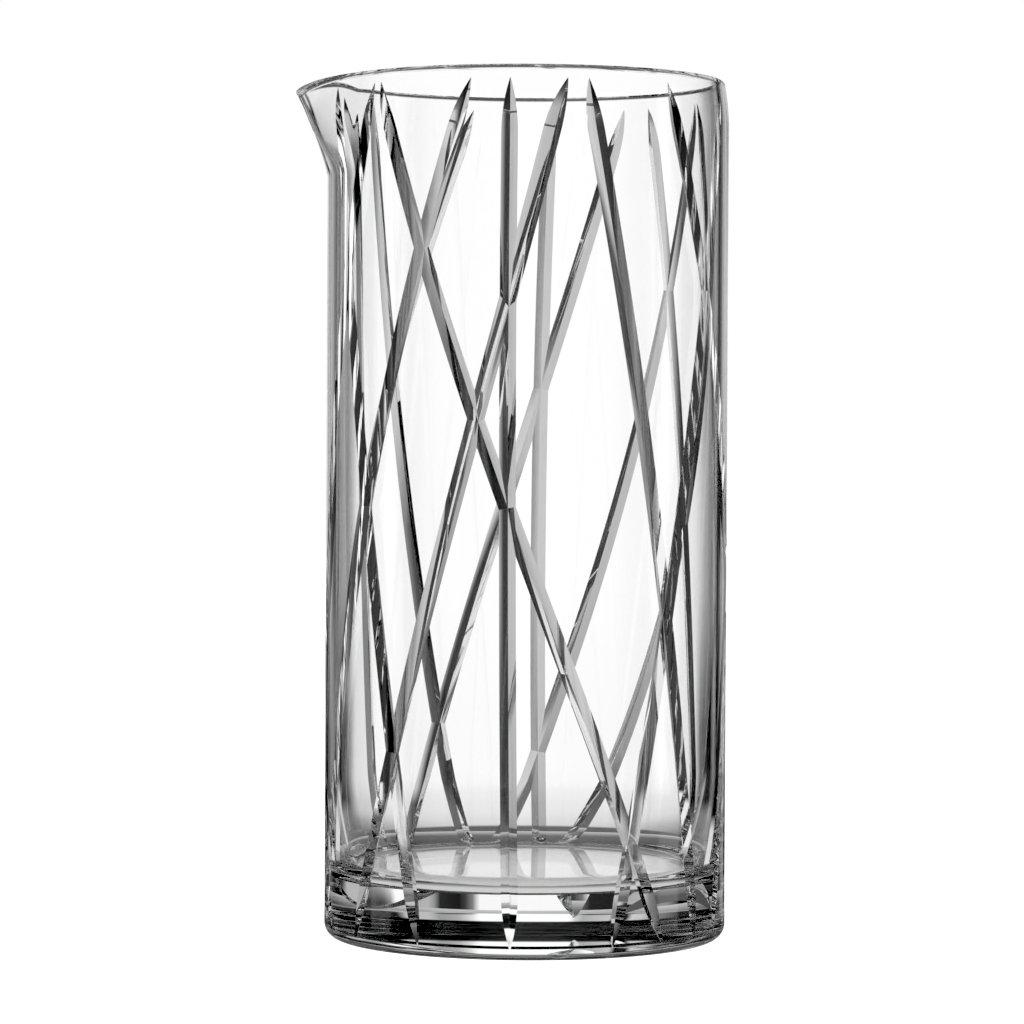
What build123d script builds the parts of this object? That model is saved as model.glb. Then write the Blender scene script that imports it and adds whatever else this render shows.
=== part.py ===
"""Cut crystal mixing glass: one straight-sided pitcher with a pulled pouring lip and V-shaped cuts.

Units are millimetres. The origin is the centre of the underside, on the axis of the glass, with +Z up.
Angles around the glass are in degrees from the front (-Y), positive towards +X, so the lip is at -90.
"""

import os
from math import asin, cos, radians, sin, sqrt

from build123d import *

# Body
HEIGHT = 178.0
BODY_RADIUS = 41.7
WALL = 2.0
BASE_THICKNESS = 12.8
HEEL_RADIUS = 3.3
INNER_CORNER_RADIUS = 5.0
THICKENING_TOP = 36.0
THICKENING_RADIUS = 148.0

# Rim: the wall leans in to a rounded, fire-polished edge
RIM_LEAN = 0.9
RIM_LEAN_HEIGHT = 9.0
RIM_LEAN_POWER = 1.6
RIM_ROUNDING = 0.75
RIM_TRIM = 0.6

# Pouring lip
LIP_ANGLE = -90.0
LIP_REACH = 7.9
LIP_HEIGHT = 20.0
LIP_HALF_WIDTH = 32.0
LIP_POINT_ROUNDING = 0.1
LIP_SHARPNESS = 2.0
LIP_FLARE_POWER = 1.25
LIP_CURL_SHARE = 0.15
LIP_CURL_POWER = 6
LIP_DIP = 2.0
LIP_DIP_START = 37.5
LIP_DIP_SLOPE = 0.25
LIP_CURVE_SPANS = 16
LIP_RING_STEP = 3.0
LIP_RINGS = 7

# V-shaped cuts: every cut runs from just under the rim to just above the underside
CUT_TOP = 175.4
CUT_FOOT = 2.2
CUT_DEPTH = 1.15
CUT_HALF_WIDTH = 1.72
CUTTING_WHEEL_RADIUS = 55.0
CUTTER_HEIGHT = 2.2
CUTTER_OVERRUN = 3.0
CUT_TIP_STEPS = 3
CUT_LONG_STEPS = 10
SLOPE_STEP = 0.5

# Where each cut stands at its top, its middle and its foot, in degrees around the glass, and how far the
# cutting wheel leans towards larger angles at the top, in degrees; it is upright again at the foot
CUTS = [
    (-67.7, -50.4, -30.6, 0.0),
    (-48.5, -76.0, -99.0, 0.0),
    (-46.0, -4.6, 41.9, 0.0),
    (-16.0, -51.1, -78.6, 0.0),
    (-5.0, -5.2, -3.9, 0.0),
    (11.0, -20.7, -55.4, -10.0),
    (16.9, 38.2, 55.8, -9.0),
    (42.5, 80.0, 118.5, -6.0),
    (70.6, 48.3, 24.7, 0.0),
    (86.8, 120.2, 171.7, 0.0),
    (113.5, 90.0, 67.0, 0.0),
    (115.0, 150.6, 193.2, 0.0),
    (139.2, 122.0, 112.0, 0.0),
    (148.4, 187.3, 225.8, 0.0),
    (173.0, 176.2, 175.0, 0.0),
    (197.3, 242.5, 289.0, 0.0),
    (237.2, 220.2, 196.3, 0.0),
    (246.5, 242.0, 232.0, 0.0),
]

INNER_RADIUS = BODY_RADIUS - WALL
LIP_START = HEIGHT - LIP_HEIGHT


def lip_share(angle):
    """How far out the lip stands at this angle: 1 at its point, 0 past its sides."""
    turn = abs((angle - LIP_ANGLE + 180.0) % 360.0 - 180.0) / LIP_HALF_WIDTH
    if turn >= 1.0:
        return 0.0
    rounded = sqrt(turn**2 + LIP_POINT_ROUNDING**2) - LIP_POINT_ROUNDING
    widest = sqrt(1.0 + LIP_POINT_ROUNDING**2) - LIP_POINT_ROUNDING
    return (1.0 - rounded / widest) ** LIP_SHARPNESS


def lip_rise(z):
    """How much of the lip is reached at this height: a straight flare that curls out at its edge."""
    up = (z - LIP_START) / (LIP_HEIGHT - LIP_DIP)
    if up <= 0.0:
        return 0.0
    return (1 - LIP_CURL_SHARE) * up**LIP_FLARE_POWER + LIP_CURL_SHARE * up**LIP_CURL_POWER


def rim_lean(z):
    """How far the wall has leaned in at this height."""
    up = (z - HEIGHT + RIM_LEAN_HEIGHT) / RIM_LEAN_HEIGHT
    return RIM_LEAN * max(up, 0.0) ** RIM_LEAN_POWER


def heel_inset(z):
    """How far the rounded heel is inside the wall at this height."""
    if z >= HEEL_RADIUS:
        return 0.0
    return HEEL_RADIUS - sqrt(HEEL_RADIUS**2 - (HEEL_RADIUS - max(z, 0.0)) ** 2)


def outer_radius(angle, z):
    """Distance from the axis to the outside of the glass, before it is cut."""
    return BODY_RADIUS - rim_lean(z) - heel_inset(z) + LIP_REACH * lip_share(angle) * lip_rise(z)


def inner_radius(angle, z):
    """Distance from the axis to the inside of the glass, which follows the outside up to the rim."""
    return INNER_RADIUS - rim_lean(z) + LIP_REACH * lip_share(angle) * lip_rise(z)


def around(angle, radius, z):
    """The point at this angle, distance from the axis and height."""
    return Vector(radius * sin(radians(angle)), -radius * cos(radians(angle)), z)


def ring(radius_at, z):
    """A level face inside the closed curve radius_at(angle, z): a true arc, and a curve across the lip."""
    sides = (LIP_ANGLE - LIP_HALF_WIDTH, LIP_ANGLE + LIP_HALF_WIDTH)
    start, end = [around(angle, radius_at(angle, z), z) for angle in sides]
    opposite = LIP_ANGLE + 180.0
    back = ThreePointArc(end, around(opposite, radius_at(opposite, z), z), start)
    if z <= LIP_START:
        front = ThreePointArc(start, around(LIP_ANGLE, radius_at(LIP_ANGLE, z), z), end)
    else:
        step = 2 * LIP_HALF_WIDTH / LIP_CURVE_SPANS
        angles = [sides[0] + step * i for i in range(LIP_CURVE_SPANS + 1)]
        points = [around(angle, radius_at(angle, z), z) for angle in angles]
        front = Spline(points, tangents=[around(angle + 90.0, 1.0, 0.0) for angle in sides])
    return make_face(back + front)


def plain_body():
    """The solid outside up to the lip: a wall on a flat underside with a rounded heel."""
    outline = Polyline(
        (BODY_RADIUS, HEEL_RADIUS), (BODY_RADIUS, LIP_START), (0, LIP_START), (0, 0),
        (BODY_RADIUS - HEEL_RADIUS, 0),
    )
    heel = RadiusArc((BODY_RADIUS - HEEL_RADIUS, 0), (BODY_RADIUS, HEEL_RADIUS), -HEEL_RADIUS)
    return revolve(Plane.XZ * make_face(outline + heel), Axis.Z)


def plain_cavity():
    """The inside up to the lip: its wall thickens gently near the floor and meets it in a rounded corner."""
    corner_height = BASE_THICKNESS + INNER_CORNER_RADIUS
    larger = THICKENING_RADIUS - INNER_CORNER_RADIUS
    meeting = asin((THICKENING_TOP - corner_height) / larger)
    floor_edge = INNER_RADIUS - THICKENING_RADIUS + larger * cos(meeting)
    joint_radius = floor_edge + INNER_CORNER_RADIUS * cos(meeting)
    joint = (joint_radius, corner_height - INNER_CORNER_RADIUS * sin(meeting))
    outline = Polyline(
        (INNER_RADIUS, THICKENING_TOP), (INNER_RADIUS, LIP_START), (0, LIP_START), (0, BASE_THICKNESS),
        (floor_edge, BASE_THICKNESS),
    )
    thickening = TangentArc((INNER_RADIUS, THICKENING_TOP), joint, tangent=(0, -1))
    corner = TangentArc((floor_edge, BASE_THICKNESS), joint, tangent=(1, 0))
    return revolve(Plane.XZ * make_face(outline + thickening + corner), Axis.Z)


def lip_stack(radius_at):
    """The part of a body or cavity that is drawn out into the lip, lofted through level rings."""
    heights = [LIP_START + LIP_RING_STEP * i for i in range(LIP_RINGS)] + [HEIGHT + RIM_TRIM]
    return loft([ring(radius_at, z) for z in heights])


def above_rim():
    """Everything above the rim, which is level except where it dips at the lip."""
    tip = BODY_RADIUS + LIP_REACH
    far = 2 * BODY_RADIUS
    tip_height = HEIGHT - LIP_DIP
    dip = Spline([(-tip, tip_height), (-LIP_DIP_START, HEIGHT)], tangents=[(1, LIP_DIP_SLOPE), (1, 0)])
    rest = Polyline(
        (-LIP_DIP_START, HEIGHT), (far, HEIGHT), (far, HEIGHT + far), (-far, HEIGHT + far),
        (-far, tip_height - LIP_DIP_SLOPE * (far - tip)), (-tip, tip_height),
    )
    return extrude(Plane.XZ * make_face(dip + rest), far, both=True)


def cut_angle(cut, z):
    """The angle around the glass of a cut at this height: a gentle bow through its three angles."""
    top, middle, foot, _ = cut
    down = (CUT_TOP - z) / (CUT_TOP - CUT_FOOT)
    bow = middle - (top + foot) / 2
    return top + (foot - top) * down + 4 * bow * down * (1 - down)


def wheel_lean(cut, z):
    """How far the cutting wheel leans over at this height, in degrees."""
    return cut[-1] * min(max((z - CUT_FOOT) / (CUT_TOP - CUT_FOOT), 0.0), 1.0)


def cut_point(cut, z, above_bottom):
    """A point on the line of a cut: its bottom, raised by this much straight out from the axis."""
    angle = cut_angle(cut, z)
    turn = cut_angle(cut, z + SLOPE_STEP) - cut_angle(cut, z - SLOPE_STEP)
    slant = BODY_RADIUS * radians(turn) / (2 * SLOPE_STEP)
    stretch = sqrt(1 + slant**2)
    from_tip = min(CUT_TOP - z, z - CUT_FOOT) * stretch
    ramp = sqrt(2 * CUTTING_WHEEL_RADIUS * CUT_DEPTH)
    depth = CUT_DEPTH - max(ramp - from_tip, 0.0) ** 2 / (2 * CUTTING_WHEEL_RADIUS)
    surface = outer_radius(angle, min(max(z, CUT_FOOT), CUT_TOP))
    return around(angle, surface - depth + above_bottom, z)


def cutter(cut):
    """The solid that a V-edged wheel sweeps out along one cut."""
    ramp = sqrt(2 * CUTTING_WHEEL_RADIUS * CUT_DEPTH)
    tip_step = ramp / CUT_TIP_STEPS
    foot_tip = [CUT_FOOT - CUTTER_OVERRUN] + [CUT_FOOT + tip_step * i for i in range(CUT_TIP_STEPS)]
    top_tip = [CUT_TOP - tip_step * i for i in range(CUT_TIP_STEPS)] + [CUT_TOP + CUTTER_OVERRUN]
    long_step = (CUT_TOP - CUT_FOOT - 2 * ramp) / CUT_LONG_STEPS
    between = [CUT_FOOT + ramp + long_step * i for i in range(CUT_LONG_STEPS + 1)]
    sections = []
    for z in sorted(foot_tip + between + top_tip):
        bottom = cut_point(cut, z, 0.0)
        out = cut_point(cut, z, CUTTER_HEIGHT) - bottom
        along = cut_point(cut, z + SLOPE_STEP, 0.0) - cut_point(cut, z - SLOPE_STEP, 0.0)
        across = along.cross(out).normalized() * CUTTER_HEIGHT
        lean = radians(wheel_lean(cut, z))
        top = bottom + out * cos(lean) + across * sin(lean)
        side = (across * cos(lean) - out * sin(lean)) * CUT_HALF_WIDTH / CUT_DEPTH
        sections.append(make_face(Polyline(bottom, top - side, top + side, close=True)))
    return loft(sections)


def rim_edges(glass):
    """The inner and outer edges of the top of the wall, which run round level and dip at the lip."""
    lowest = HEIGHT - LIP_DIP - RIM_TRIM
    return [edge for edge in glass.edges() if edge.bounding_box().min.Z > lowest]


outside = plain_body() + lip_stack(outer_radius)
inside = plain_cavity() + lip_stack(inner_radius)
blank = (outside - inside - above_rim()).solid()
glass = blank.fillet(RIM_ROUNDING, rim_edges(blank))
for cut in CUTS:
    glass = glass - cutter(cut)

os.makedirs("parts", exist_ok=True)
export_step(glass.solid(), "parts/glass_body.step")
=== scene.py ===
"""Cut crystal mixing glass in a white studio, lit by panels with dark gaps between them.

Everything is in metres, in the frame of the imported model: +Z is up, the pouring lip points to -X and the
front is at -Y. Angles round the glass are in degrees from the front, positive towards +X.
"""

from math import pi, sqrt

import bpy
import numpy as np
from mathutils import Euler, Matrix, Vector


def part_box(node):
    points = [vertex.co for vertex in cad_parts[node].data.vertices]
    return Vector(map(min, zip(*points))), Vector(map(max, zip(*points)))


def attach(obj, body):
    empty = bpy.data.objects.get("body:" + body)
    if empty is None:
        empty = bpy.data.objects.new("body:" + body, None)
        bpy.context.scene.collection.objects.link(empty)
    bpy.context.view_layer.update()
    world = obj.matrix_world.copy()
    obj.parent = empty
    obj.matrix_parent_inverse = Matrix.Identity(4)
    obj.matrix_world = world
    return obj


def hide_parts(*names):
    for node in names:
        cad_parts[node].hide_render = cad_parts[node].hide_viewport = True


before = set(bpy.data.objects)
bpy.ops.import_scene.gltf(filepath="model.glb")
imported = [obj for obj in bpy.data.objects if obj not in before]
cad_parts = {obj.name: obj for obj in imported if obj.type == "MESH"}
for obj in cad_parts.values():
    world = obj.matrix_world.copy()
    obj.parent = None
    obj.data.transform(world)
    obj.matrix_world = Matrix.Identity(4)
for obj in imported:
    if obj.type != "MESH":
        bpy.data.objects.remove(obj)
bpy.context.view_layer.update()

MM = 0.001
NODE = "glass_body"

# Body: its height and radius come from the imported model, the rest is as in the CAD
LOW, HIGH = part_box(NODE)
HEIGHT = HIGH.z - LOW.z
BODY_RADIUS = HIGH.x
WALL = 2.0 * MM
INNER_RADIUS = BODY_RADIUS - WALL
BASE_THICKNESS = 12.8 * MM
HEEL_RADIUS = 3.3 * MM
INNER_CORNER_RADIUS = 5.0 * MM
THICKENING_TOP = 36.0 * MM
THICKENING_RADIUS = 148.0 * MM

# Rim: the wall leans in to a rounded, fire-polished edge
RIM_LEAN = 0.9 * MM
RIM_LEAN_HEIGHT = 9.0 * MM
RIM_LEAN_POWER = 1.6
RIM_ROUNDING = 1.25 * MM

# Pouring lip
LIP_ANGLE = -90.0
LIP_REACH = 7.9 * MM
LIP_HEIGHT = 20.0 * MM
LIP_HALF_WIDTH = 32.0
LIP_POINT_ROUNDING = 0.1
LIP_SHARPNESS = 2.0
LIP_DIP = 2.0 * MM
LIP_DIP_SPREAD = 1.4
LIP_CURL_SHARE = 0.15
LIP_CURL_POWER = 6
LIP_FLARE_POWER = 1.25
LIP_START = HEIGHT - LIP_HEIGHT

# V-shaped cuts
CUT_TOP = 175.4 * MM
CUT_FOOT = 2.2 * MM
CUT_DEPTH = 1.15 * MM
CUT_HALF_WIDTH = 1.72 * MM
CUTTING_WHEEL_RADIUS = 55.0 * MM
CUTTER_HEIGHT = 2.2 * MM
CUTTER_OVERRUN = 3.0 * MM
CUT_STEP = 0.8 * MM
CUT_SLOPE_STEP = 1.0 * MM

# Where each cut stands at its top, its middle and its foot, in degrees round the glass, and how far the
# cutting wheel leans towards larger angles at the top, in degrees; it is upright again at the foot.
# A fitting program worked out most of the angles; the leans were chosen.
CUTS = [
    (-67.7, -50.4, -30.6, 0.0),
    (-48.5, -76.0, -99.0, 0.0),
    (-46.0, -4.6, 41.9, 0.0),
    (-16.0, -51.1, -78.6, 0.0),
    (-5.0, -5.2, -3.9, 0.0),
    (11.0, -20.7, -55.4, -10.0),
    (16.9, 38.2, 55.8, -9.0),
    (42.5, 80.0, 118.5, -6.0),
    (70.6, 48.3, 24.7, 0.0),
    (86.8, 120.2, 171.7, 0.0),
    (113.5, 90.0, 67.0, 0.0),
    (115.0, 150.6, 193.2, 0.0),
    (139.2, 122.0, 112.0, 0.0),
    (148.4, 187.3, 225.8, 0.0),
    (173.0, 176.2, 175.0, 0.0),
    (197.3, 242.5, 289.0, 0.0),
    (237.2, 220.2, 196.3, 0.0),
    (246.5, 242.0, 232.0, 0.0),
]

# How finely the glass is modelled
TURN_STEPS = 480
LIP_ROWS = 20
ARC_STEPS = 12
# Rings of points on the flat underside and the flat floor, as shares of their radius
FLAT_RINGS = (0.0, 0.33, 0.66)
# Half the steps over which the directions of the surface are measured, in metres and in degrees
SLOPE_STEP = 1e-5
TURN_STEP = 0.01
# The least length that a direction is divided by
SHORTEST = 1e-12
# The attribute that carries the directions of the surface through the cutting
NORMALS = "surface_normal"


# ---------------------------------------------------------------- the shape of the blank glass

def lip_share(angle):
    """How far out the lip stands at this angle: 1 at its point, 0 past its sides."""
    turn = np.abs((angle - LIP_ANGLE + 180.0) % 360.0 - 180.0) / LIP_HALF_WIDTH
    rounded = np.sqrt(turn**2 + LIP_POINT_ROUNDING**2) - LIP_POINT_ROUNDING
    widest = np.sqrt(1.0 + LIP_POINT_ROUNDING**2) - LIP_POINT_ROUNDING
    return np.clip(1.0 - rounded / widest, 0.0, 1.0) ** LIP_SHARPNESS


def lip_rise(z):
    """How much of the lip is reached at this height: a straight flare that curls out at its edge."""
    up = np.clip((z - LIP_START) / (LIP_HEIGHT - LIP_DIP), 0.0, None)
    return (1 - LIP_CURL_SHARE) * up**LIP_FLARE_POWER + LIP_CURL_SHARE * up**LIP_CURL_POWER


def rim_lean(z):
    """How far the wall has leaned in at this height."""
    up = np.clip((z - HEIGHT + RIM_LEAN_HEIGHT) / RIM_LEAN_HEIGHT, 0.0, None)
    return RIM_LEAN * up**RIM_LEAN_POWER


def outer_wall(z):
    """Distance from the axis to the outside of the round glass, without its lip."""
    below = np.clip(HEEL_RADIUS - z, 0.0, HEEL_RADIUS)
    return BODY_RADIUS - rim_lean(z) - HEEL_RADIUS + np.sqrt(HEEL_RADIUS**2 - below**2)


def inner_wall(z):
    """Distance from the axis to the inside of the round glass, above where it thickens."""
    return INNER_RADIUS - rim_lean(z)


def drawn_out(angle, radius, z):
    """Where a point of the round glass goes when the lip is drawn out of it."""
    up = np.clip((z - LIP_START) / LIP_HEIGHT, 0.0, None)
    z = z - LIP_DIP * lip_share(angle) ** LIP_DIP_SPREAD * up**2
    radius = radius + LIP_REACH * lip_share(angle) * lip_rise(z)
    turn = np.radians(angle)
    return np.stack([radius * np.sin(turn), -radius * np.cos(turn), z], -1)


def arc(centre, size, start, end, steps=ARC_STEPS):
    """Points (radius, z) and directions along part of an ellipse, angles from straight out, in degrees."""
    turn = np.radians(np.linspace(start, end, steps + 1))
    way = np.sign(end - start)
    points = np.stack([centre[0] + size[0] * np.cos(turn), centre[1] + size[1] * np.sin(turn)], -1)
    return points, way * np.stack([-size[0] * np.sin(turn), size[1] * np.cos(turn)], -1)


def outline():
    """The outline of the wall: centre of the underside, heel, wall, rim, inside and centre of the floor."""
    heel_centre = (BODY_RADIUS - HEEL_RADIUS, HEEL_RADIUS)
    heel = arc(heel_centre, (HEEL_RADIUS, HEEL_RADIUS), -90, 0)
    rim_z = HEIGHT - RIM_ROUNDING
    up = np.linspace(LIP_START, rim_z, LIP_ROWS)
    wall = np.stack([outer_wall(up), up], -1)
    slope = (outer_wall(up + SLOPE_STEP) - outer_wall(up - SLOPE_STEP)) / (2 * SLOPE_STEP)
    wall_way = np.stack([slope, np.ones_like(slope)], -1)
    rim_middle = (outer_wall(rim_z) + inner_wall(rim_z)) / 2
    rim_half = (outer_wall(rim_z) - inner_wall(rim_z)) / 2
    rim = arc((rim_middle, rim_z), (rim_half, RIM_ROUNDING), 0, 180)
    down = np.concatenate([up[::-1], [THICKENING_TOP]])
    inside = np.stack([inner_wall(down), down], -1)
    inside_drift = rim_lean(down + SLOPE_STEP) - rim_lean(down - SLOPE_STEP)
    inside_way = np.stack([inside_drift, np.full_like(down, -2 * SLOPE_STEP)], -1)
    corner_z = BASE_THICKNESS + INNER_CORNER_RADIUS
    larger = THICKENING_RADIUS - INNER_CORNER_RADIUS
    meeting = np.arcsin((THICKENING_TOP - corner_z) / larger)
    corner_r = INNER_RADIUS - THICKENING_RADIUS + larger * np.cos(meeting)
    thick_centre = (INNER_RADIUS - THICKENING_RADIUS, THICKENING_TOP)
    thickening = arc(thick_centre, (THICKENING_RADIUS, THICKENING_RADIUS), 0, -np.degrees(meeting))
    corner_size = (INNER_CORNER_RADIUS, INNER_CORNER_RADIUS)
    corner = arc((corner_r, corner_z), corner_size, -np.degrees(meeting), -90)
    under = np.array([[share * heel_centre[0], 0.0] for share in FLAT_RINGS])
    floor = np.array([[share * corner_r, BASE_THICKNESS] for share in reversed(FLAT_RINGS)])
    parts = [
        (under, np.tile([1.0, 0.0], (len(FLAT_RINGS), 1))),
        heel,
        (wall, wall_way),
        (rim[0][1:-1], rim[1][1:-1]),
        (inside, inside_way),
        (thickening[0][1:-1], thickening[1][1:-1]),
        corner,
        (floor, np.tile([-1.0, 0.0], (len(FLAT_RINGS), 1))),
    ]
    return np.concatenate([points for points, _ in parts]), np.concatenate([ways for _, ways in parts])


def unit(vectors):
    """The same directions with a length of one."""
    return vectors / np.maximum(np.linalg.norm(vectors, axis=-1, keepdims=True), SHORTEST)


def make_mesh(name, points, faces, corner_normals):
    """A mesh that carries its true surface normals as an attribute of its face corners."""
    mesh = bpy.data.meshes.new(name)
    mesh.from_pydata(points.tolist(), [], faces)
    attribute = mesh.attributes.new(NORMALS, "FLOAT_VECTOR", "CORNER")
    attribute.data.foreach_set("vector", corner_normals.astype(np.float32).ravel())
    mesh.validate()
    obj = bpy.data.objects.new(name, mesh)
    bpy.context.scene.collection.objects.link(obj)
    return obj


def blank_glass():
    """The whole glass before it is cut, turned from its outline, with its lip drawn out."""
    line, way = outline()
    way = unit(way)
    angles = LIP_ANGLE + np.arange(TURN_STEPS) * 360.0 / TURN_STEPS
    angle, radius = np.meshgrid(angles, line[:, 0], indexing="ij")
    z = np.broadcast_to(line[:, 1], radius.shape)
    points = drawn_out(angle, radius, z)
    round_way = drawn_out(angle + TURN_STEP, radius, z) - drawn_out(angle - TURN_STEP, radius, z)
    step = SLOPE_STEP * way
    up_way = drawn_out(angle, radius + step[:, 0], z + step[:, 1])
    up_way = up_way - drawn_out(angle, radius - step[:, 0], z - step[:, 1])
    normals = unit(np.cross(round_way, up_way))
    last = len(line) - 1
    normals[:, 0] = (0, 0, -1)
    normals[:, last] = (0, 0, 1)

    rows = last - 1
    index = 2 + np.arange(TURN_STEPS)[:, None] * rows + np.arange(rows)
    verts = np.concatenate([points[0, :1], points[0, last:], points[:, 1:last].reshape(-1, 3)])
    vert_normals = np.concatenate([normals[0, :1], normals[0, last:], normals[:, 1:last].reshape(-1, 3)])
    after = np.roll(index, -1, axis=0)
    quads = np.stack([index[:, :-1], after[:, :-1], after[:, 1:], index[:, 1:]], -1).reshape(-1, 4)
    faces = quads.tolist()
    faces += [[0, b, a] for a, b in zip(index[:, 0].tolist(), after[:, 0].tolist())]
    faces += [[1, a, b] for a, b in zip(index[:, -1].tolist(), after[:, -1].tolist())]
    corners = np.concatenate([np.array(f) for f in faces])
    return make_mesh("blank", verts, faces, vert_normals[corners])


# ---------------------------------------------------------------- the cuts

def cut_angle(cut, z):
    """The angle round the glass of a cut at this height: a gentle bow through its three angles."""
    top, middle, foot, _ = cut
    down = (CUT_TOP - z) / (CUT_TOP - CUT_FOOT)
    bow = middle - (top + foot) / 2
    return top + (foot - top) * down + 4 * bow * down * (1 - down)


def cut_line(cut, z):
    """The bottom of a cut, and the way straight out from the axis there."""
    angle = cut_angle(cut, z)
    turned = np.radians(cut_angle(cut, z + CUT_SLOPE_STEP) - cut_angle(cut, z - CUT_SLOPE_STEP))
    slant = BODY_RADIUS * turned / (2 * CUT_SLOPE_STEP)
    from_tip = np.minimum(CUT_TOP - z, z - CUT_FOOT) * np.sqrt(1 + slant**2)
    ramp = sqrt(2 * CUTTING_WHEEL_RADIUS * CUT_DEPTH)
    depth = CUT_DEPTH - np.clip(ramp - from_tip, 0.0, None) ** 2 / (2 * CUTTING_WHEEL_RADIUS)
    at = np.clip(z, CUT_FOOT, CUT_TOP)
    surface = outer_wall(at) + LIP_REACH * lip_share(angle) * lip_rise(at)
    turn = np.radians(angle)
    out = np.stack([np.sin(turn), -np.cos(turn), np.zeros_like(turn)], -1)
    return out * (surface - depth)[:, None] + z[:, None] * np.array([0, 0, 1.0]), out


def cutter(cut, number):
    """The solid that a V-edged wheel sweeps out along one cut."""
    steps = int((CUT_TOP - CUT_FOOT + 2 * CUTTER_OVERRUN) / CUT_STEP)
    z = np.linspace(CUT_FOOT - CUTTER_OVERRUN, CUT_TOP + CUTTER_OVERRUN, steps)
    bottom, out = cut_line(cut, z)
    step = CUT_SLOPE_STEP / 4
    along = unit(cut_line(cut, z + step)[0] - cut_line(cut, z - step)[0])
    across = unit(np.cross(along, out))
    lean = np.radians(cut[-1] * np.clip((z - CUT_FOOT) / (CUT_TOP - CUT_FOOT), 0.0, 1.0))[:, None]
    top = bottom + CUTTER_HEIGHT * (out * np.cos(lean) + across * np.sin(lean))
    spread = (across * np.cos(lean) - out * np.sin(lean)) * CUTTER_HEIGHT * CUT_HALF_WIDTH / CUT_DEPTH
    sides = [top + spread * s for s in (-1, 1)]
    verts = np.stack([bottom, sides[0], sides[1]], 1).reshape(-1, 3)
    flank_normals = [unit(np.cross(along, side - bottom)) * s for side, s in zip(sides, (1, -1))]
    left, right = [n * np.sign((n * out).sum(-1, keepdims=True)) for n in flank_normals]
    faces, normals = [], []
    for i in range(steps - 1):
        a, b = 3 * i, 3 * i + 3
        faces += [[a, a + 1, b + 1, b], [b, b + 2, a + 2, a], [a + 1, a + 2, b + 2, b + 1]]
        normals += [left[i], left[i], left[i + 1], left[i + 1]]
        normals += [right[i + 1], right[i + 1], right[i], right[i]]
        normals += [out[i], out[i], out[i + 1], out[i + 1]]
    end = 3 * (steps - 1)
    faces += [[0, 2, 1], [end, end + 1, end + 2]]
    normals += [-along[0]] * 3 + [along[-1]] * 3
    return make_mesh(f"cutter_{number}", verts, faces, np.array(normals))


def cut_glass():
    """The blank with every cut ground into it."""
    glass = blank_glass()
    tools = [cutter(cut, number) for number, cut in enumerate(CUTS)]
    for tool in tools:
        modifier = glass.modifiers.new(tool.name, "BOOLEAN")
        modifier.object = tool
        modifier.solver = "MANIFOLD"
        modifier.operation = "DIFFERENCE"
    graph = bpy.context.evaluated_depsgraph_get()
    mesh = bpy.data.meshes.new_from_object(glass.evaluated_get(graph))
    glass.modifiers.clear()
    for tool in tools:
        bpy.data.objects.remove(tool)
    glass.data = mesh
    glass.name = mesh.name = "mixing_glass"
    normals = np.empty(len(mesh.loops) * 3, dtype=np.float32)
    mesh.attributes[NORMALS].data.foreach_get("vector", normals)
    mesh.attributes.remove(mesh.attributes[NORMALS])
    mesh.shade_smooth()
    mesh.normals_split_custom_set(unit(normals.reshape(-1, 3)).tolist())
    return glass


# ---------------------------------------------------------------- material

IOR = 1.53
ABSORPTION = 1.6
GLASS_TINT = (0.90, 0.95, 0.90, 1.0)
RIPPLE_SIZE = 0.035
RIPPLE_HEIGHT = 0.00002
RIPPLE_DETAIL = 1.0
POLISH_SIZE = 0.0012
POLISH_DETAIL = 4.0
# The marks show where the pattern passes from the first level to the second
POLISH_LEVELS = (0.55, 0.8)
POLISH_ROUGHNESS = 0.006
WHITE = (1, 1, 1, 1)


def crystal():
    """Clear cut crystal: a little uneven as blown glass is, with faint polishing marks."""
    material = bpy.data.materials.new("crystal")
    material.use_nodes = True
    nodes, links = material.node_tree.nodes, material.node_tree.links
    glass = nodes["Principled BSDF"]
    glass.inputs["Base Color"].default_value = WHITE
    glass.inputs["IOR"].default_value = IOR
    glass.inputs["Transmission Weight"].default_value = 1.0
    place = nodes.new("ShaderNodeTexCoord")

    polish = nodes.new("ShaderNodeTexNoise")
    polish.inputs["Scale"].default_value = 1 / POLISH_SIZE
    polish.inputs["Detail"].default_value = POLISH_DETAIL
    links.new(place.outputs["Object"], polish.inputs["Vector"])
    marks = nodes.new("ShaderNodeMapRange")
    marks.inputs["From Min"].default_value = POLISH_LEVELS[0]
    marks.inputs["From Max"].default_value = POLISH_LEVELS[1]
    marks.inputs["To Max"].default_value = POLISH_ROUGHNESS
    links.new(polish.outputs["Fac"], marks.inputs["Value"])
    links.new(marks.outputs["Result"], glass.inputs["Roughness"])

    ripple = nodes.new("ShaderNodeTexNoise")
    ripple.inputs["Scale"].default_value = 1 / RIPPLE_SIZE
    ripple.inputs["Detail"].default_value = RIPPLE_DETAIL
    links.new(place.outputs["Object"], ripple.inputs["Vector"])
    bump = nodes.new("ShaderNodeBump")
    bump.inputs["Strength"].default_value = 1.0
    bump.inputs["Distance"].default_value = RIPPLE_HEIGHT
    links.new(ripple.outputs["Fac"], bump.inputs["Height"])
    links.new(bump.outputs["Normal"], glass.inputs["Normal"])

    body = nodes.new("ShaderNodeVolumeAbsorption")
    body.inputs["Color"].default_value = GLASS_TINT
    body.inputs["Density"].default_value = ABSORPTION
    links.new(body.outputs["Volume"], nodes["Material Output"].inputs["Volume"])
    return material
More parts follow.
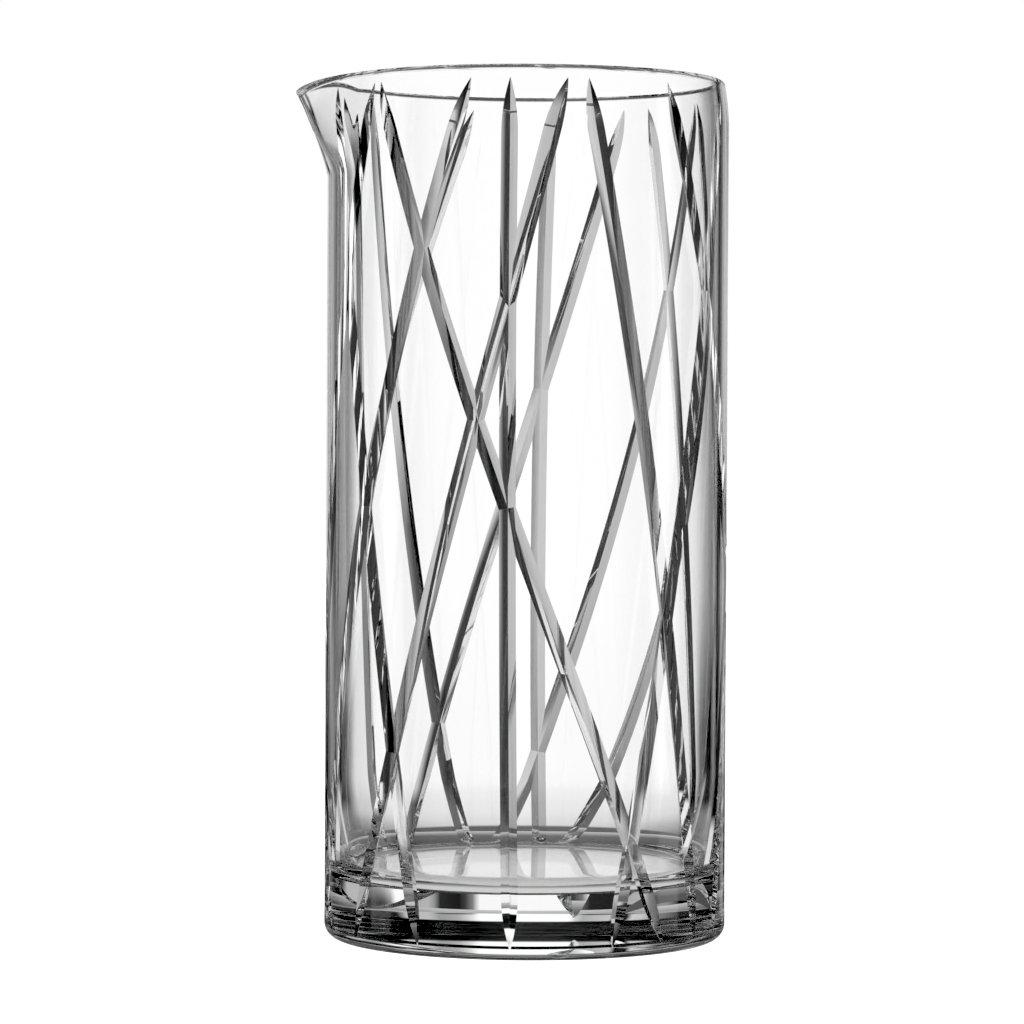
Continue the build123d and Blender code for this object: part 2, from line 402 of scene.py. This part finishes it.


# ---------------------------------------------------------------- studio

# Brightness of the lit panels round the glass, by azimuth in degrees from straight behind it (+ is +X).
# A bright panel with a dimmer glow on both sides stands behind the glass; others stand at its sides and
# front. The levels started from a fitting program's results and were then changed. A ramp holds
# no more than 32 of them.
PANELS = [
    (-180, 0.90), (-172, 0.80), (-166, 0.40), (-124, 0.35), (-116, 0.03), (-99, 0.05), (-97, 0.95),
    (-83, 0.95), (-81, 0.05), (-60, 0.02), (-38, 0.05), (-29, 0.24), (-26, 0.60), (-22.5, 0.66),
    (-21.5, 0.03), (-18, 0.03), (-17, 0.60), (-10.5, 0.42), (-8.5, 1.08), (8.5, 1.08), (10.5, 0.68),
    (13, 0.42), (17, 0.36), (19, 0.55), (25.5, 0.58), (27.5, 0.05), (81, 0.05), (83, 0.95),
    (97, 0.95), (99, 0.05), (125, 0.70), (180, 0.90),
]
# The same close to the floor, where the panel behind has dark gaps beside it
PANELS_LOW = [
    (-180, 0.90), (-172, 0.90), (-166, 0.55), (-124, 0.40), (-116, 0.02), (-99, 0.05), (-97, 0.95),
    (-83, 0.95), (-81, 0.05), (-60, 0.02), (-38, 0.03), (-33, 0.30), (-24, 0.26), (-22, 0.03), (-12, 0.03),
    (-10.5, 0.20), (-8.5, 1.04), (8.5, 1.04), (10, 0.16), (12, 0.03), (17, 0.05), (19, 0.52), (27, 0.50),
    (30, 0.10), (32, 0.02), (60, 0.02), (81, 0.05), (83, 0.95), (97, 0.95), (99, 0.05), (124, 0.60),
    (180, 0.90),
]
# By elevation: how much of the low panels shows, how bright the panels are, and how bright the light is
# from below, where the floor would be
LOW_SHARE = [(-4.2, 1.0), (-2.2, 0.0)]
PANEL_HEIGHT = [
    (-15, 0.0), (-13, 0.30), (-11.5, 0.66), (-10, 0.80), (-8, 0.90), (-6.0, 1.0), (11.5, 1.0), (13, 0.30),
    (15, 0.04), (20, 0.02),
]
FLOOR_LIGHT = [(-13.5, 0.85), (-10.5, 0.0)]
# Straight behind the glass that light from below is darker, by azimuth and by elevation
FLOOR_DARK = [(-40, 0.0), (-34, 1.0), (34, 1.0), (40, 0.0)]
FLOOR_DARK_HEIGHT = [(-55, 0.0), (-45, 1.0)]
FLOOR_DARK_GREY = (0.12, 0.12, 0.12, 1)
# The light level that comes out black, which deepens the darkest facets
BLACK_POINT = 0.04
# Brightness of the background where the camera sees it directly
BACKGROUND = 1.0

AZIMUTHS = (-180, 180)
ELEVATIONS = (-90, 90)

# How often light may be bent or mirrored on its way through the glass
BOUNCES = 32
GLOSSY_BOUNCES = 24

FLOOR_SIZE = 6.0
FLOOR_GAP = 0.0002
FLOOR_PALE = 0.86
FLOOR_ROUGHNESS = 0.9
FLOOR_GLOW = 1.2
# A glowing disc under the glass, which carries a painted shadow of the glass on the floor
SHADE_GAP = 0.0001
SHADE_RADIUS = 0.075
SHADE_EDGE_STEPS = 96
# Painted shadow: brightness of the floor disc close to the glass, as it shows through the glass, by
# distance from its axis
SHADE = [(0.0, 0.75), (0.036, 0.65), (0.042, 0.10), (0.06, 0.14), (SHADE_RADIUS, 0.60)]


def grey_ramp(nodes, links, value, stops, low, high):
    """A grey value that changes with another value, between low and high, through stops."""
    scale = nodes.new("ShaderNodeMapRange")
    scale.inputs["From Min"].default_value = low
    scale.inputs["From Max"].default_value = high
    links.new(value, scale.inputs["Value"])
    node = nodes.new("ShaderNodeValToRGB")
    elements = node.color_ramp.elements
    while len(elements) < len(stops):
        elements.new(0.5)
    for element, (at, grey) in zip(elements, stops):
        element.position = (at - low) / (high - low)
        element.color = (grey, grey, grey, 1)
    links.new(scale.outputs["Result"], node.inputs["Fac"])
    return node.outputs["Color"]


def combine(nodes, links, operation, first, second):
    """Two colours added or multiplied."""
    node = nodes.new("ShaderNodeVectorMath")
    node.operation = operation
    links.new(first, node.inputs[0])
    links.new(second, node.inputs[1])
    return node.outputs["Vector"]


def mix(nodes, links, share, first, second):
    """The first colour where the share is 0, the second where it is 1; each a value or an output."""
    node = nodes.new("ShaderNodeMixRGB")
    links.new(share, node.inputs["Fac"])
    for value, socket in ((first, "Color1"), (second, "Color2")):
        if isinstance(value, tuple):
            node.inputs[socket].default_value = value
        else:
            links.new(value, node.inputs[socket])
    return node.outputs["Color"]


def direction_angles(nodes, links):
    """The azimuth and elevation, in degrees, of the direction that a ray leaves in."""
    place = nodes.new("ShaderNodeTexCoord")
    split = nodes.new("ShaderNodeSeparateXYZ")
    links.new(place.outputs["Generated"], split.inputs[0])
    angles = []
    for operation, sockets in (("ARCTAN2", ("X", "Y")), ("ARCSINE", ("Z",))):
        angle = nodes.new("ShaderNodeMath")
        angle.operation = operation
        for i, socket in enumerate(sockets):
            links.new(split.outputs[socket], angle.inputs[i])
        degrees = nodes.new("ShaderNodeMath")
        degrees.operation = "DEGREES"
        links.new(angle.outputs[0], degrees.inputs[0])
        angles.append(degrees.outputs[0])
    return angles


def add_studio():
    """Lit panels between dark gaps, which give the glass its light and dark lines.

    The camera itself sees a white background: the panels show through the glass and mirrored in it.
    """
    scene = bpy.context.scene
    scene.view_settings.view_transform = "Standard"
    scene.view_settings.use_curve_mapping = True
    scene.view_settings.curve_mapping.black_level = (BLACK_POINT,) * 3
    scene.view_settings.curve_mapping.update()
    scene.cycles.max_bounces = BOUNCES
    scene.cycles.transmission_bounces = BOUNCES
    scene.cycles.glossy_bounces = GLOSSY_BOUNCES
    scene.world = bpy.data.worlds.new("studio")
    scene.world.use_nodes = True
    nodes, links = scene.world.node_tree.nodes, scene.world.node_tree.links
    azimuth, elevation = direction_angles(nodes, links)
    high = grey_ramp(nodes, links, azimuth, PANELS, *AZIMUTHS)
    low = grey_ramp(nodes, links, azimuth, PANELS_LOW, *AZIMUTHS)
    share = grey_ramp(nodes, links, elevation, LOW_SHARE, *ELEVATIONS)
    height = grey_ramp(nodes, links, elevation, PANEL_HEIGHT, *ELEVATIONS)
    floor = grey_ramp(nodes, links, elevation, FLOOR_LIGHT, *ELEVATIONS)
    dark = grey_ramp(nodes, links, azimuth, FLOOR_DARK, *AZIMUTHS)
    dark_height = grey_ramp(nodes, links, elevation, FLOOR_DARK_HEIGHT, *ELEVATIONS)
    dark = combine(nodes, links, "MULTIPLY", dark, dark_height)
    panels = combine(nodes, links, "MULTIPLY", mix(nodes, links, share, high, low), height)
    floor = combine(nodes, links, "MULTIPLY", floor, mix(nodes, links, dark, WHITE, FLOOR_DARK_GREY))
    light = combine(nodes, links, "ADD", panels, floor)
    path = nodes.new("ShaderNodeLightPath")
    seen = mix(nodes, links, path.outputs["Is Camera Ray"], light, (BACKGROUND,) * 3 + (1,))
    links.new(seen, nodes["Background"].inputs["Color"])


def staged(name, points, material):
    """A flat piece of the studio, which is not part of the glass."""
    mesh = bpy.data.meshes.new(name)
    mesh.from_pydata(points, [], [tuple(range(len(points)))])
    mesh.materials.append(material)
    piece = bpy.data.objects.new(name, mesh)
    bpy.context.scene.collection.objects.link(piece)
    return piece


def add_floor():
    """A pale floor that meets the background without a line, and isn't seen through the glass."""
    half = FLOOR_SIZE / 2
    material = bpy.data.materials.new("pale_floor")
    material.use_nodes = True
    shader = material.node_tree.nodes["Principled BSDF"]
    shader.inputs["Base Color"].default_value = (FLOOR_PALE, FLOOR_PALE, FLOOR_PALE, 1)
    shader.inputs["Roughness"].default_value = FLOOR_ROUGHNESS
    shader.inputs["Emission Color"].default_value = WHITE
    shader.inputs["Emission Strength"].default_value = FLOOR_GLOW
    corners = [(x, y, -FLOOR_GAP) for x, y in ((-half, -half), (half, -half), (half, half), (-half, half))]
    floor = staged("floor", corners, material)
    floor.visible_transmission = False
    floor.visible_glossy = False


def add_painted_shadow():
    """A glowing disc with a painted shadow of the glass round its foot, which is only seen through the
    glass.
    """
    material = bpy.data.materials.new("painted_shadow_floor")
    material.use_nodes = True
    nodes, links = material.node_tree.nodes, material.node_tree.links
    place = nodes.new("ShaderNodeTexCoord")
    length = nodes.new("ShaderNodeVectorMath")
    length.operation = "LENGTH"
    links.new(place.outputs["Object"], length.inputs[0])
    # The disc glows with painted shade instead of being lit by the studio
    glow = nodes.new("ShaderNodeEmission")
    level = grey_ramp(nodes, links, length.outputs["Value"], SHADE, 0.0, SHADE_RADIUS)
    links.new(level, glow.inputs["Color"])
    links.new(glow.outputs[0], nodes["Material Output"].inputs["Surface"])
    turns = np.linspace(0, 2 * pi, SHADE_EDGE_STEPS, endpoint=False)
    edge = [(SHADE_RADIUS * np.cos(turn), SHADE_RADIUS * np.sin(turn), -SHADE_GAP) for turn in turns]
    shade = staged("painted_shadow_disc", edge, material)
    shade.visible_camera = False
    shade.visible_diffuse = False


# ---------------------------------------------------------------- camera

# Distance and height in metres, turns in degrees, and the lens and its sensor in millimetres
CAMERA_DISTANCE = 0.827
CAMERA_HEIGHT = 0.1037
CAMERA_TILT = -1.05
CAMERA_TURN = 0.208
CAMERA_ROLL = 0.29
FOCAL_LENGTH = 139.6
SENSOR_WIDTH = 36.0


def add_camera():
    """A long lens in front of the glass, a little above its middle."""
    data = bpy.data.cameras.new("camera")
    camera = bpy.data.objects.new("camera", data)
    bpy.context.scene.collection.objects.link(camera)
    data.lens = FOCAL_LENGTH
    data.sensor_width = SENSOR_WIDTH
    camera.location = (0.0, -CAMERA_DISTANCE, CAMERA_HEIGHT)
    camera.rotation_mode = "XYZ"
    turn = Euler((np.radians(90 + CAMERA_TILT), 0.0, np.radians(CAMERA_TURN))).to_matrix()
    roll = Matrix.Rotation(np.radians(CAMERA_ROLL), 3, "Z")
    camera.rotation_euler = (turn @ roll).to_euler()
    bpy.context.scene.camera = camera


glass = cut_glass()
glass.data.materials.clear()
glass.data.materials.append(crystal())
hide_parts(NODE)
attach(glass, "root")
add_camera()
add_studio()
add_floor()
add_painted_shadow()
